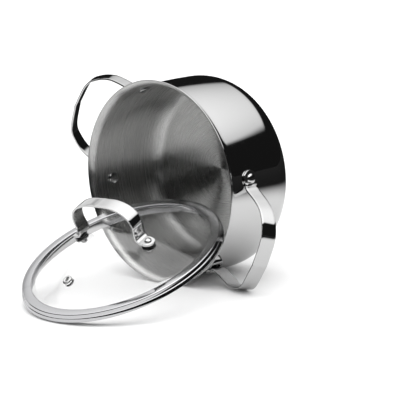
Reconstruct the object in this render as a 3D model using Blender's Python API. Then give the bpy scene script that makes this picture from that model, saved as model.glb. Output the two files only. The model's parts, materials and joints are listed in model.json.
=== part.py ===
"""Stock pot on its side, with its glass lid leaning on the rim.

The pot's pieces are modelled upright, with the pot's axis on Z and the base at
z = 0. The lid's pieces are modelled on their own axis, with z = 0 where the lid
sits on a rim. Two empties then lay the pot down and lean the lid against it.
Lengths are in metres and angles in degrees.
"""

import math

import bpy
import numpy as np
from mathutils import Matrix, Vector

# Pot body, outside sizes
RIM_RADIUS = 0.1200
RIM_FLARE = 0.0060  # how far the rim stands out past the neck
BELLY_SWELL = 0.0022  # how far the belly stands out past the neck
FLOOR_CORNER = 0.0202  # how far the flat floor stops short of the belly
SHELL_HEIGHT = 0.1090
FLARE_HEIGHT = 0.0090
BELLY_SHARE = 0.734  # the belly's depth below the rim, as a share of the shell's height
WALL = 0.0012

# Base sandwich
CORE_INSET = 0.0035
CORE_THICKNESS = 0.0040
CAP_WALL = 0.0008
CAP_CORNER = 0.0025

# Side handles
HANDLE_DEPTH = 0.0340
HANDLE_SPREAD = 34.5
HANDLE_LEAN_FOOT = 6.0
HANDLE_LEAN_GRIP = 29.0
HANDLE_REACH = 0.0753
TWIST_REACH = 0.0120
STRAP_WIDTH = 0.0172
STRAP_THICKNESS = 0.0020
LUG_RADIUS = 0.0100
LUG_NECK = 0.0008
STRAP_EASE = 0.22  # edge easing, as a share of the strap's thickness

# Rivets
RIVET_RADIUS = 0.0026
RIVET_DOME_RADIUS = 0.0058
RIVET_DOME_HEIGHT = 0.0026
RIVET_HEAD_RADIUS = 0.0066
RIVET_HEAD_THICKNESS = 0.0014

# Lid
LID_OVERHANG = 0.0020
RING_SETBACK = 0.0006
RING_HEIGHT = 0.0090
RING_FACE = 0.0112
COLLAR_DEPTH = 0.0045
COLLAR_WALL = 0.0010
GLASS_THICKNESS = 0.0034
GLASS_RISE = 0.0290
SEAL_WALL = 0.0008

# Lid handle and its fixings
LID_HANDLE_SPREAD = 0.0535
LID_HANDLE_REACH = 0.0460
LID_STRAP_WIDTH = 0.0170
LID_STRAP_THICKNESS = 0.0024
LID_LUG_RADIUS = 0.0088
SCREW_RADIUS = 0.0020
SCREW_HEAD_RADIUS = 0.0042
SCREW_HEAD_HEIGHT = 0.0020
NUT_RADIUS = 0.0040
NUT_HEIGHT = 0.0032
GASKET_THICKNESS = 0.0010
WASHER_THICKNESS = 0.0008
FOOT_RISE = 0.0008  # how far a flat foot stands off the curved glass
HOLLOW_SAG = 0.0004  # how far a flat gasket stands off the hollow side
THREAD_END = 0.0006

# Steam vent in the glass
VENT_REACH = 0.0755
VENT_ANGLE = -98.0
VENT_FLANGE_RADIUS = 0.0058
VENT_TUBE_RADIUS = 0.0034
VENT_BORE_RADIUS = 0.0020
SLEEVE_WALL = 0.0008

# How the pieces lie
LID_LEAN = 19.5
LID_SPIN = 3.0
HOLE_CLEARANCE = 0.0003
GAP = 0.0003
DRILL_DEPTH = 0.020

POT_STEPS = 48
LID_STEPS = 48
SMALL_STEPS = 16

# Worked-out radii
NECK_RADIUS = RIM_RADIUS - RIM_FLARE
BELLY_RADIUS = NECK_RADIUS + BELLY_SWELL
FLOOR_RADIUS = BELLY_RADIUS - FLOOR_CORNER
CORE_RADIUS = FLOOR_RADIUS - CORE_INSET

# Worked-out heights, from the bottom of the base upwards
CORE_BOTTOM = CAP_WALL + GAP
SHELL_BOTTOM = CORE_BOTTOM + CORE_THICKNESS + GAP
RIM_TOP = SHELL_BOTTOM + SHELL_HEIGHT
BELLY_DEPTH = SHELL_HEIGHT * BELLY_SHARE


def arc(centre, radii, start, end, count):
    """Points on an elliptical arc, from the start angle to the end angle."""
    angles = np.radians(np.linspace(start, end, count))
    return [(centre[0] + radii[0] * math.cos(a), centre[1] + radii[1] * math.sin(a)) for a in angles]


def smooth_path(points, per_span):
    """A Catmull-Rom curve through the points, with per_span steps in each span."""
    knots = [np.array(p, dtype=float) for p in points]
    knots = [2 * knots[0] - knots[1]] + knots + [2 * knots[-1] - knots[-2]]
    path = []
    for a, b, c, d in zip(knots, knots[1:], knots[2:], knots[3:]):
        for t in np.arange(per_span) / per_span:
            path.append(0.5 * (2 * b + (c - a) * t + (2 * a - 5 * b + 4 * c - d) * t ** 2
                               + (3 * b - a - 3 * c + d) * t ** 3))
    return path + [knots[-2]]


def shell_outline(inset):
    """Radius and height of the pot wall, from the flat floor up to the rim edge."""
    floor = SHELL_BOTTOM + inset
    belly_height = RIM_TOP - BELLY_DEPTH
    corner = arc((FLOOR_RADIUS, belly_height),
                 (BELLY_RADIUS - FLOOR_RADIUS - inset, belly_height - floor), -90, 0, 7)
    neck_height = RIM_TOP - FLARE_HEIGHT
    side = []
    for share in np.linspace(0, 1, 5)[1:]:
        swell = (BELLY_RADIUS - NECK_RADIUS) * (1 - share ** 2)
        side.append((NECK_RADIUS + swell - inset, belly_height + share * (neck_height - belly_height)))
    half = math.atan((RIM_RADIUS - NECK_RADIUS) / FLARE_HEIGHT)
    bend = FLARE_HEIGHT / math.sin(2 * half)
    turn = math.degrees(2 * half)
    flare = arc((NECK_RADIUS + bend, neck_height), (bend + inset, bend + inset), 180, 180 - turn, 5)
    return corner + side + flare[1:]


def wall_radius(height, inset=0.0):
    """Radius of the pot wall at a height above the base."""
    points = shell_outline(inset)
    return float(np.interp(height, [p[1] for p in points], [p[0] for p in points]))


def dome_height(reach, drop=0.0):
    """Height of the glass's upper face at a distance from the lid's axis, less a drop."""
    sphere = (GLASS_DOME_RADIUS ** 2 + GLASS_RISE ** 2) / (2 * GLASS_RISE)
    crown = GLASS_TOP + GLASS_RISE - drop
    return crown - sphere + math.sqrt(sphere ** 2 - reach ** 2)


# Worked-out lid sections, as radius from the axis and height above the seat
LIP_RADIUS = RIM_RADIUS + LID_OVERHANG
RING_TOP_RADIUS = RIM_RADIUS - RING_SETBACK
RING_INNER_RADIUS = RING_TOP_RADIUS - RING_FACE
COLLAR_RADIUS = NECK_RADIUS - WALL - 0.0010
RING_SHEET = 0.0010
GLASS_RADIUS = RING_TOP_RADIUS - 0.0050
GLASS_DOME_RADIUS = RING_INNER_RADIUS - 0.0008
GROOVE_TOP = RING_HEIGHT - RING_SHEET
GLASS_TOP = GROOVE_TOP - 2 * GAP - SEAL_WALL
GLASS_BOTTOM = GLASS_TOP - GLASS_THICKNESS
GROOVE_BOTTOM = GLASS_BOTTOM - 2 * GAP - SEAL_WALL


def material(name, colour, metallic, roughness, alpha=1.0):
    """A Principled material in one plain colour."""
    mat = bpy.data.materials.new(name)
    mat.use_nodes = True
    shader = mat.node_tree.nodes["Principled BSDF"]
    shader.inputs["Base Color"].default_value = (*colour, 1.0)
    shader.inputs["Metallic"].default_value = metallic
    shader.inputs["Roughness"].default_value = roughness
    shader.inputs["Alpha"].default_value = alpha
    return mat


def add_object(name, mesh, parent, mat=None):
    """A mesh object under one of the two empties."""
    obj = bpy.data.objects.new(name, mesh)
    bpy.context.collection.objects.link(obj)
    obj.parent = parent
    if mat:
        mesh.materials.append(mat)
    return obj


def lathe(name, outline, parent, mat, steps, closed=False):
    """A solid turned about Z. The outline runs down its outer side."""
    points = [(x, 0.0, z) for x, z in outline]
    edges = [(i, i + 1) for i in range(len(points) - 1)]
    if closed:
        edges.append((len(points) - 1, 0))
    mesh = bpy.data.meshes.new(name)
    mesh.from_pydata(points, edges, [])
    obj = add_object(name, mesh, parent, mat)
    screw = obj.modifiers.new("turn", "SCREW")
    screw.axis = "Z"
    screw.steps = steps
    screw.render_steps = steps
    screw.use_merge_vertices = True
    screw.merge_threshold = 0.00001
    return obj


def cylinder_mesh(name, radius, depth, steps):
    """A closed cylinder about Z, centred on its own origin."""
    ring = [(radius * math.cos(a), radius * math.sin(a)) for a in np.arange(steps) * 2 * math.pi / steps]
    points = [(x, y, z) for z in (-depth / 2, depth / 2) for x, y in ring]
    faces = [(i, (i + 1) % steps, steps + (i + 1) % steps, steps + i) for i in range(steps)]
    faces.append(tuple(reversed(range(steps))))
    faces.append(tuple(range(steps, 2 * steps)))
    mesh = bpy.data.meshes.new(name)
    mesh.from_pydata(points, [], faces)
    return mesh


def drill(targets, radius, depth, placement, parent):
    """Cuts a round hole through the targets, about the placement's Z axis."""
    cutter = add_object("drill", cylinder_mesh("drill", radius, depth, SMALL_STEPS), parent)
    cutter.matrix_basis = placement
    cutter.hide_render = True
    cutter.display_type = "WIRE"
    for target in targets:
        cut = target.modifiers.new("hole", "BOOLEAN")
        cut.operation = "DIFFERENCE"
        cut.object = cutter


def place(obj, placement):
    """Puts an object at a placement under its parent."""
    obj.matrix_basis = placement
    return obj


def axis_placement(point, direction):
    """A placement at a point, with Z along a direction."""
    turn = Vector((0, 0, 1)).rotation_difference(Vector(direction).normalized())
    return Matrix.Translation(Vector(point)) @ turn.to_matrix().to_4x4()


def strap_mesh(name, stations, thickness):
    """A flat strap swept along stations of centre, width direction and half width."""
    count = len(stations)
    deep = thickness / 2
    points = []
    for i, (centre, across, half) in enumerate(stations):
        along = stations[min(i + 1, count - 1)][0] - stations[max(i - 1, 0)][0]
        face = along.cross(across).normalized()
        side = face.cross(along).normalized()
        ease = min(thickness * STRAP_EASE, half * 0.4)
        for x, y in ((half, deep - ease), (half - ease, deep), (ease - half, deep), (-half, deep - ease),
                     (-half, ease - deep), (ease - half, -deep), (half - ease, -deep), (half, ease - deep)):
            points.append(centre + side * x + face * y)
    faces = [(8 * i + k, 8 * i + 8 + k, 8 * i + 8 + (k + 1) % 8, 8 * i + (k + 1) % 8)
             for i in range(count - 1) for k in range(8)]
    faces.append(tuple(range(8)))
    faces.append(tuple(8 * (count - 1) + k for k in reversed(range(8))))
    mesh = bpy.data.meshes.new(name)
    mesh.from_pydata(points, [], faces)
    return mesh


def round_end(centre, along, across, radius, half):
    """Stations of a strap's rounded end, from its tip up to the pin's centre."""
    stations = []
    for angle in (5, 25, 45, 67, 90):
        back = -radius * math.cos(math.radians(angle))
        width = radius * math.sin(math.radians(angle))
        stations.append((centre + along * back, across, width))
    meet = math.sqrt(max(radius ** 2 - half ** 2, 0.0)) + LUG_NECK
    stations.append((centre + along * meet, across, half))
    return stations


def both_ends(stations):
    """The stations of a half strap followed by their mirror image."""
    mirrored = []
    for centre, across, half in reversed(stations[:-1]):
        mirrored.append((Vector((centre.x, -centre.y, centre.z)), Vector((across.x, -across.y, across.z)), half))
    return stations + mirrored


def lug_face(angle):
    """The point and outward direction of the pot wall where a lug is riveted on."""
    height = RIM_TOP - HANDLE_DEPTH
    slope = (wall_radius(height - LUG_RADIUS) - wall_radius(height + LUG_RADIUS)) / (2 * LUG_RADIUS)
    radius = wall_radius(height)
    point = Vector((radius * math.cos(angle), radius * math.sin(angle), height))
    return point, Vector((math.cos(angle), math.sin(angle), slope)).normalized()


def handle_stations():
    """Stations of a side handle whose middle lies on +X, at the pot's own height."""
    spread = math.radians(HANDLE_SPREAD)
    face, outward = lug_face(spread)
    lug = face + outward * (GAP + STRAP_THICKNESS / 2)
    inward = Vector((math.sin(spread), -math.cos(spread), 0))
    up = inward.cross(outward)
    stations = round_end(lug, inward, up, LUG_RADIUS, STRAP_WIDTH / 2)
    # The half loop, as sideways reach past the lug and outward reach from its chord
    loop = [(-0.0066, 0.0046), (-0.0089, 0.0092), (-0.0096, 0.0166), (-0.0104, 0.0301), (-0.0130, 0.0452),
            (-0.0216, 0.0602), (-0.0352, 0.0708), (-lug.y, 0.0753)]
    foot_lean = math.radians(HANDLE_LEAN_FOOT)
    curl = (math.radians(HANDLE_LEAN_GRIP) - foot_lean) / HANDLE_REACH
    for side, out in smooth_path(loop, 4):
        out *= HANDLE_REACH / loop[-1][1]
        lean = foot_lean + curl * out
        reach = (math.sin(lean) - math.sin(foot_lean)) / curl
        rise = (math.cos(foot_lean) - math.cos(lean)) / curl
        share = min(out / TWIST_REACH, 1.0)
        share = share * share * (3 - 2 * share)
        across = up.lerp(Vector((-math.sin(lean), 0, math.cos(lean))), share)
        stations.append((Vector((lug.x + reach, lug.y + side, lug.z + rise)), across, STRAP_WIDTH / 2))
    return both_ends(stations)


def lid_handle_stations():
    """Stations of the lid handle, whose feet stand on the glass along Y."""
    foot_reach = LID_HANDLE_SPREAD
    foot_height = dome_height(foot_reach) + 2 * GAP + GASKET_THICKNESS + LID_STRAP_THICKNESS / 2 + FOOT_RISE
    foot = Vector((0, foot_reach, foot_height))
    slope = math.asin(foot_reach / ((GLASS_DOME_RADIUS ** 2 + GLASS_RISE ** 2) / (2 * GLASS_RISE)))
    inward = Vector((0, -math.cos(slope), math.sin(slope)))
    across = Vector((-1, 0, 0))
    stations = round_end(foot, inward, across, LID_LUG_RADIUS, LID_STRAP_WIDTH / 2)
    loop = [(-0.0062, 0.0012), (-0.0088, 0.0060), (-0.0078, 0.0130), (-0.0068, 0.0220), (-0.0100, 0.0320),
            (-0.0190, 0.0400), (-0.0340, 0.0448), (-foot_reach, 0.0460)]
    for side, rise in smooth_path(loop, 3):
        rise *= LID_HANDLE_REACH / loop[-1][1]
        stations.append((Vector((0, foot_reach + side, foot_height + rise)), across, LID_STRAP_WIDTH / 2))
    return both_ends(stations)


def lean_of_pot():
    """Angle in radians between the pot's axis and the floor as it lies on rim and belly."""
    slopes = [math.atan((RIM_RADIUS - r) / (RIM_TOP - z)) for r, z in shell_outline(0.0)
              if z < RIM_TOP - FLARE_HEIGHT]
    return min(slopes)


def lowest_of_handle(roll, stations):
    """How far a side handle's lowest point is below the pot's axis, for a roll about it."""
    spin = Matrix.Rotation(roll, 3, "Z")
    edges = []
    for centre, across, half in stations:
        for side in (-half, half):
            edges.append(spin @ (centre + across.normalized() * side))
    lean = lean_of_pot()
    return max(p.y * math.cos(lean) + (RIM_TOP - p.z) * math.sin(lean) for p in edges) + STRAP_THICKNESS / 2


def roll_of_pot(stations):
    """Roll in radians that brings the lower side handle down to the floor."""
    low = math.radians(5)
    high = math.radians(60)
    floor = RIM_RADIUS * math.cos(lean_of_pot())
    for _ in range(40):
        middle = (low + high) / 2
        if lowest_of_handle(middle, stations) < floor:
            low = middle
        else:
            high = middle
    return low


def ring_outline():
    """Section of the steel ring round the glass, clockwise from its inner top edge."""
    return [
        (RING_INNER_RADIUS, GROOVE_TOP + 0.0004),
        (RING_INNER_RADIUS + 0.0012, RING_HEIGHT),
        (RING_TOP_RADIUS - 0.0012, RING_HEIGHT),
        (RING_TOP_RADIUS, RING_HEIGHT - 0.0010),
        (RING_TOP_RADIUS + 0.0007, RING_HEIGHT * 0.55),
        (RING_TOP_RADIUS + 0.0014, RING_HEIGHT * 0.48),
        (LIP_RADIUS, 0.0006),
        (LIP_RADIUS - 0.0003, GAP),
        (LIP_RADIUS - 0.0013, GAP),
        (COLLAR_RADIUS + 0.0010, GAP),
        (COLLAR_RADIUS, -0.0008),
        (COLLAR_RADIUS, -COLLAR_DEPTH),
        (COLLAR_RADIUS - COLLAR_WALL, -COLLAR_DEPTH),
        (COLLAR_RADIUS - COLLAR_WALL, GROOVE_BOTTOM),
        (GLASS_RADIUS + SEAL_WALL + 2 * GAP, GROOVE_BOTTOM),
        (GLASS_RADIUS + SEAL_WALL + 2 * GAP, GROOVE_TOP),
        (RING_INNER_RADIUS, GROOVE_TOP),
    ]


def seal_outline():
    """Section of the U-shaped seal between ring and glass."""
    inner = RING_INNER_RADIUS + 0.0004
    inner_low = COLLAR_RADIUS - COLLAR_WALL + 0.0004
    outer = GLASS_RADIUS + GAP + SEAL_WALL
    return [(inner, GROOVE_TOP - GAP), (outer, GROOVE_TOP - GAP), (outer, GROOVE_BOTTOM + GAP),
            (inner_low, GROOVE_BOTTOM + GAP), (inner_low, GLASS_BOTTOM - GAP),
            (GLASS_RADIUS + GAP, GLASS_BOTTOM - GAP), (GLASS_RADIUS + GAP, GLASS_TOP + GAP),
            (inner, GLASS_TOP + GAP)]


def glass_outline():
    """Section of the domed glass, from its crown out to the edge and back underneath."""
    reaches = [GLASS_DOME_RADIUS * share for share in np.linspace(0, 1, 7)]
    upper = [(r, dome_height(r)) for r in reaches]
    lower = [(r, dome_height(r, GLASS_THICKNESS)) for r in reversed(reaches)]
    edge = [(GLASS_RADIUS - 0.0008, GLASS_TOP), (GLASS_RADIUS, GLASS_TOP - 0.0008),
            (GLASS_RADIUS, GLASS_BOTTOM + 0.0008), (GLASS_RADIUS - 0.0008, GLASS_BOTTOM)]
    return upper + edge + lower


def lid_samples(turn):
    """Points round the ring's outer section, turned into the lid's lean."""
    angles = np.radians(np.arange(0, 360, 1.5))
    points = []
    for radius, height in ring_outline()[:13]:
        for a in angles:
            points.append(turn @ Vector((radius * math.cos(a), radius * math.sin(a), height)))
    return points


def lid_clears(points, place_at, pot_turn, rim_centre):
    """Whether the ring's points at a place stay clear of the pot's wall."""
    to_pot = pot_turn.inverted()
    margin = 0.0006
    for point in points:
        local = to_pot @ (point + place_at - rim_centre)
        depth = -local.z
        if depth > -margin:
            reach = math.hypot(local.x, local.y)
            if reach > wall_radius(min(RIM_TOP - depth, RIM_TOP), WALL) - margin:
                return False
    return True


def lid_place(turn, pot_turn, rim_centre):
    """Where the lid's origin lies: on the floor in front, and on the pot's rim behind."""
    points = lid_samples(turn)
    rest_height = -min(p.z for p in points)
    near = 0.0
    far = 2 * RIM_RADIUS
    for _ in range(16):
        middle = (near + far) / 2
        if lid_clears(points, Vector((0, -middle, rest_height)), pot_turn, rim_centre):
            far = middle
        else:
            near = middle
    return Vector((0, -far, rest_height))


for old in list(bpy.data.objects):
    bpy.data.objects.remove(old, do_unlink=True)

MIRROR_STEEL = material("polished_steel", (0.62, 0.62, 0.63), 1.0, 0.08)
SATIN_STEEL = material("satin_steel", (0.58, 0.58, 0.59), 1.0, 0.30)
ALUMINIUM = material("aluminium", (0.70, 0.71, 0.73), 1.0, 0.40)
GLASS = material("tempered_glass", (0.90, 0.93, 0.92), 0.0, 0.03, alpha=0.35)
RUBBER = material("black_silicone", (0.02, 0.02, 0.02), 0.0, 0.55)
CLEAR_SEAL = material("grey_silicone", (0.35, 0.36, 0.37), 0.0, 0.45)

# The floor is z = 0, and the pot's mouth faces -Y with its rim on the plane y = 0
side_stations = handle_stations()
pot_lean = lean_of_pot()
pot_roll = roll_of_pot(side_stations)
mouth_turn = Matrix.Rotation(math.radians(90) - pot_lean, 3, "X")
pot_turn = mouth_turn @ Matrix.Rotation(-pot_roll, 3, "Z")
rim_centre = Vector((0, 0, RIM_RADIUS * math.cos(pot_lean)))

pot = bpy.data.objects.new("pot_frame", None)
bpy.context.collection.objects.link(pot)
pot.matrix_basis = (Matrix.Translation(rim_centre) @ pot_turn.to_4x4()
                    @ Matrix.Translation((0, 0, -RIM_TOP)))

lid_turn = (Matrix.Rotation(math.radians(LID_LEAN), 3, "X")
            @ Matrix.Rotation(math.radians(LID_SPIN - 90), 3, "Z"))
lid = bpy.data.objects.new("lid_frame", None)
bpy.context.collection.objects.link(lid)
lid.matrix_basis = Matrix.Translation(lid_place(lid_turn, pot_turn, rim_centre)) @ lid_turn.to_4x4()

# Pot body: one deep-drawn steel sheet, turned up to a flared pouring rim
inner_wall = shell_outline(WALL)
outer_wall = shell_outline(0.0)
rim_edge = [((inner_wall[-1][0] + outer_wall[-1][0]) / 2 + WALL * 0.35, outer_wall[-1][1] + WALL * 0.30)]
shell = lathe("pot_shell", [(0.0, SHELL_BOTTOM + WALL)] + inner_wall + rim_edge + outer_wall[::-1]
              + [(0.0, SHELL_BOTTOM)], pot, MIRROR_STEEL, POT_STEPS)

# Base sandwich: an aluminium disc closed in by a pressed steel cap
core_bevel = 0.0018
core_top = CORE_BOTTOM + CORE_THICKNESS
lathe("base_core", [(0.0, core_top), (CORE_RADIUS, core_top), (CORE_RADIUS, CORE_BOTTOM + core_bevel),
                    (CORE_RADIUS - core_bevel, CORE_BOTTOM), (0.0, CORE_BOTTOM)], pot, ALUMINIUM, POT_STEPS)
cap_inner = CORE_RADIUS + GAP
cap_outer = cap_inner + CAP_WALL
cap_centre = (cap_outer - CAP_CORNER, CAP_CORNER)
cap_bend = CAP_CORNER - CAP_WALL
lathe("base_cap", [(0.0, CAP_WALL)] + arc(cap_centre, (cap_bend, cap_bend), -90, 0, 4)
      + [(cap_inner, core_top), (cap_outer, core_top)]
      + arc(cap_centre, (CAP_CORNER, CAP_CORNER), 0, -90, 5) + [(0.0, 0.0)], pot, SATIN_STEEL, POT_STEPS)

# Side handles: two bent steel straps, each held by two rivets through the wall
strap_outside = GAP + STRAP_THICKNESS
head_back = -WALL - 2 * GAP
head_front = head_back - RIVET_HEAD_THICKNESS
rivet_outline = ([(0.0, strap_outside + GAP + RIVET_DOME_HEIGHT)]
                 + arc((0.0, strap_outside + GAP), (RIVET_DOME_RADIUS, RIVET_DOME_HEIGHT), 72, 0, 5)
                 + [(RIVET_RADIUS, strap_outside + GAP), (RIVET_RADIUS, head_back),
                    (RIVET_HEAD_RADIUS, head_back), (RIVET_HEAD_RADIUS, (head_back + head_front) / 2),
                    (RIVET_HEAD_RADIUS * 0.8, head_front), (0.0, head_front)])
for side, facing, upper in (("right", 0.0, HANDLE_SPREAD), ("left", 180.0, -HANDLE_SPREAD)):
    handle_name = f"side_handle_{side}"
    handle = add_object(handle_name, strap_mesh(handle_name, side_stations, STRAP_THICKNESS), pot, MIRROR_STEEL)
    place(handle, Matrix.Rotation(math.radians(facing), 4, "Z"))
    for end, spread in (("lower", -upper), ("upper", upper)):
        face, outward = lug_face(math.radians(facing + spread))
        placement = axis_placement(face, outward)
        place(lathe(f"rivet_{side}_{end}", rivet_outline, pot, MIRROR_STEEL, SMALL_STEPS), placement)
        drill((shell, handle), RIVET_RADIUS + HOLE_CLEARANCE, DRILL_DEPTH, placement, pot)

# Lid: a domed glass in a silicone seal, held by a rolled steel ring
lathe("lid_ring", ring_outline(), lid, MIRROR_STEEL, LID_STEPS, closed=True)
lathe("lid_ring_seal", seal_outline(), lid, CLEAR_SEAL, LID_STEPS, closed=True)
glass = lathe("lid_glass", glass_outline(), lid, GLASS, LID_STEPS)

# Lid handle: a bent steel strap on two screws through the glass
grip_stations = lid_handle_stations()
grip = add_object("lid_handle", strap_mesh("lid_handle", grip_stations, LID_STRAP_THICKNESS), lid, SATIN_STEEL)
dome_sphere = (GLASS_DOME_RADIUS ** 2 + GLASS_RISE ** 2) / (2 * GLASS_RISE)
dome_centre = Vector((0, 0, GLASS_TOP + GLASS_RISE - dome_sphere))
foot_slope = math.asin(LID_HANDLE_SPREAD / dome_sphere)
hollow = SCREW_RADIUS + HOLE_CLEARANCE
washer_radius = LID_LUG_RADIUS - 0.0008
under_bottom = -GLASS_THICKNESS - GAP - HOLLOW_SAG - GASKET_THICKNESS
backing_bottom = under_bottom - GAP - WASHER_THICKNESS
nut_bottom = backing_bottom - GAP - NUT_HEIGHT
strap_top = 2 * GAP + GASKET_THICKNESS + FOOT_RISE + LID_STRAP_THICKNESS + HOLLOW_SAG
screw_outline = ([(0.0, strap_top + SCREW_HEAD_HEIGHT)]
                 + arc((0.0, strap_top), (SCREW_HEAD_RADIUS, SCREW_HEAD_HEIGHT), 70, 0, 4)
                 + [(SCREW_RADIUS, strap_top), (SCREW_RADIUS, nut_bottom - THREAD_END),
                    (0.0, nut_bottom - THREAD_END)])
for side, facing in (("right", 1), ("left", -1)):
    outward = Vector((0, facing * math.sin(foot_slope), math.cos(foot_slope)))
    glass_face = axis_placement(dome_centre + outward * dome_sphere, outward)
    for disc_name, bottom, thickness, radius, mat, steps in (
            ("foot_gasket", GAP, GASKET_THICKNESS, washer_radius, RUBBER, SMALL_STEPS),
            ("under_gasket", under_bottom, GASKET_THICKNESS, washer_radius, RUBBER, SMALL_STEPS),
            ("backing_washer", backing_bottom, WASHER_THICKNESS, washer_radius * 0.92, SATIN_STEEL, SMALL_STEPS),
            ("lid_nut", nut_bottom, NUT_HEIGHT, NUT_RADIUS, SATIN_STEEL, 6)):
        top = bottom + thickness
        outline = [(hollow, top), (radius, top), (radius, bottom), (hollow, bottom)]
        place(lathe(f"{disc_name}_{side}", outline, lid, mat, steps, closed=True), glass_face)
    place(lathe(f"lid_screw_{side}", screw_outline, lid, SATIN_STEEL, SMALL_STEPS), glass_face)
    drill((glass, grip), hollow, DRILL_DEPTH, glass_face, lid)

# Steam vent: a steel eyelet with a rubber sleeve, curled over under the glass
vent_azimuth = math.radians(90 + VENT_ANGLE)
vent_slope = math.asin(VENT_REACH / dome_sphere)
vent_out = Vector((math.sin(vent_slope) * math.cos(vent_azimuth), math.sin(vent_slope) * math.sin(vent_azimuth),
                   math.cos(vent_slope)))
vent_face = axis_placement(dome_centre + vent_out * dome_sphere, vent_out)
sleeve_radius = VENT_TUBE_RADIUS + GAP + SLEEVE_WALL
sleeve_top = GAP + SLEEVE_WALL
sleeve_bottom = -GLASS_THICKNESS - 0.0010
place(lathe("vent_sleeve", [(VENT_TUBE_RADIUS + GAP, sleeve_top), (VENT_FLANGE_RADIUS - 0.0004, sleeve_top),
                            (VENT_FLANGE_RADIUS - 0.0004, GAP), (sleeve_radius, GAP),
                            (sleeve_radius, sleeve_bottom), (VENT_TUBE_RADIUS + GAP, sleeve_bottom)],
            lid, RUBBER, SMALL_STEPS, closed=True), vent_face)
eyelet_top = sleeve_top + GAP + 0.0010
eyelet_bottom = sleeve_bottom - 0.0016
place(lathe("vent_eyelet", [(VENT_BORE_RADIUS, eyelet_top - 0.0006), (VENT_BORE_RADIUS + 0.0010, eyelet_top),
                            (VENT_FLANGE_RADIUS - 0.0010, eyelet_top), (VENT_FLANGE_RADIUS, eyelet_top - 0.0010),
                            (VENT_TUBE_RADIUS, eyelet_top - 0.0010), (VENT_TUBE_RADIUS, eyelet_bottom),
                            (VENT_BORE_RADIUS, eyelet_bottom)], lid, SATIN_STEEL, SMALL_STEPS, closed=True),
      vent_face)
collar_top = sleeve_bottom - GAP
collar_hollow = VENT_TUBE_RADIUS + GAP
place(lathe("vent_collar", [(collar_hollow, collar_top), (VENT_FLANGE_RADIUS, collar_top),
                            (VENT_FLANGE_RADIUS, collar_top - 0.0008), (collar_hollow, collar_top - 0.0008)],
            lid, SATIN_STEEL, SMALL_STEPS, closed=True), vent_face)
drill((glass,), sleeve_radius + GAP, DRILL_DEPTH, vent_face, lid)

# The origin goes under the middle of the whole arrangement
bpy.context.view_layer.update()
graph = bpy.context.evaluated_depsgraph_get()
corners = []
for obj in bpy.data.objects:
    if obj.type == "MESH" and not obj.hide_render:
        solid = obj.evaluated_get(graph)
        corners += [solid.matrix_world @ vertex.co for vertex in solid.data.vertices]
shift = Vector((-(min(c.x for c in corners) + max(c.x for c in corners)) / 2,
                -(min(c.y for c in corners) + max(c.y for c in corners)) / 2,
                -min(c.z for c in corners)))
for frame in (pot, lid):
    frame.matrix_basis = Matrix.Translation(shift) @ frame.matrix_basis
bpy.context.view_layer.update()
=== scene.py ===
import json
import math

import bmesh
import bpy
from mathutils import Matrix, Vector


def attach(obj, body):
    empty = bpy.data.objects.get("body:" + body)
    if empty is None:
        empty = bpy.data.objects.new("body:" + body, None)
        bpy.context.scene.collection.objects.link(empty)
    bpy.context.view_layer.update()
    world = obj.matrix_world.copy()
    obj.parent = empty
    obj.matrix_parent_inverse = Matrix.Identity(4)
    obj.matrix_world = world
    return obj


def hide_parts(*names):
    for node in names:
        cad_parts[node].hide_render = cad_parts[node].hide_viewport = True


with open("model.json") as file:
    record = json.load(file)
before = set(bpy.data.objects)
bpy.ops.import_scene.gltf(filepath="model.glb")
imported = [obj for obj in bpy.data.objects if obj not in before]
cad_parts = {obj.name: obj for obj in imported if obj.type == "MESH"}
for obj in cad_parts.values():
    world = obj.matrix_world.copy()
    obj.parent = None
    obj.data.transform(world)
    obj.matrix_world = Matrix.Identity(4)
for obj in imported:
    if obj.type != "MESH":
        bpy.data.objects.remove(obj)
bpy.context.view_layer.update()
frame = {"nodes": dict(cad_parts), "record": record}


# ---------------------------------------------------------------------------
# Studio. A pale table stands under one very large softbox, with a white card
# on the left, in a room that is dark where polished steel can see it. Steel
# shows little of its own colour, so the room makes most of its look.

def linear(hex_colour):
    """An sRGB hex colour as linear RGBA."""
    channels = [int(hex_colour[i:i + 2], 16) / 255 for i in (1, 3, 5)]
    return tuple(c / 12.92 if c <= 0.04045 else ((c + 0.055) / 1.055) ** 2.4 for c in channels) + (1.0,)


def node(tree, kind, settings=None, **links):
    """Adds a node, with its settings, and its inputs as values or as other nodes' outputs."""
    new = tree.nodes.new(kind)
    for name, value in (settings or {}).items():
        setattr(new, name, value)
    for name, value in links.items():
        key = int(name[1:]) if name[0] == "i" and name[1:].isdigit() else name.replace("_", " ")
        socket = new.inputs[key]
        if isinstance(value, bpy.types.NodeSocket):
            tree.links.new(value, socket)
        else:
            socket.default_value = value
    return new


mounts = {mount["name"]: mount for mount in frame["record"]["mounts"]}
POT_ROLL = 29.775  # degrees, how far the handles are turned from level
RIM_HEIGHT = 0.1144  # from the bottom of the base to the rim
pot_axis = -Vector(mounts["base_face"]["axis"])
pot_lean = math.asin(pot_axis.z)
pot_place = (Matrix.Translation(mounts["base_face"]["pos_m"])
             @ Matrix.Rotation(math.radians(90) - pot_lean, 4, "X")
             @ Matrix.Rotation(-math.radians(POT_ROLL), 4, "Z"))
rim_centre = pot_place @ Vector((0, 0, RIM_HEIGHT))

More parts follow.
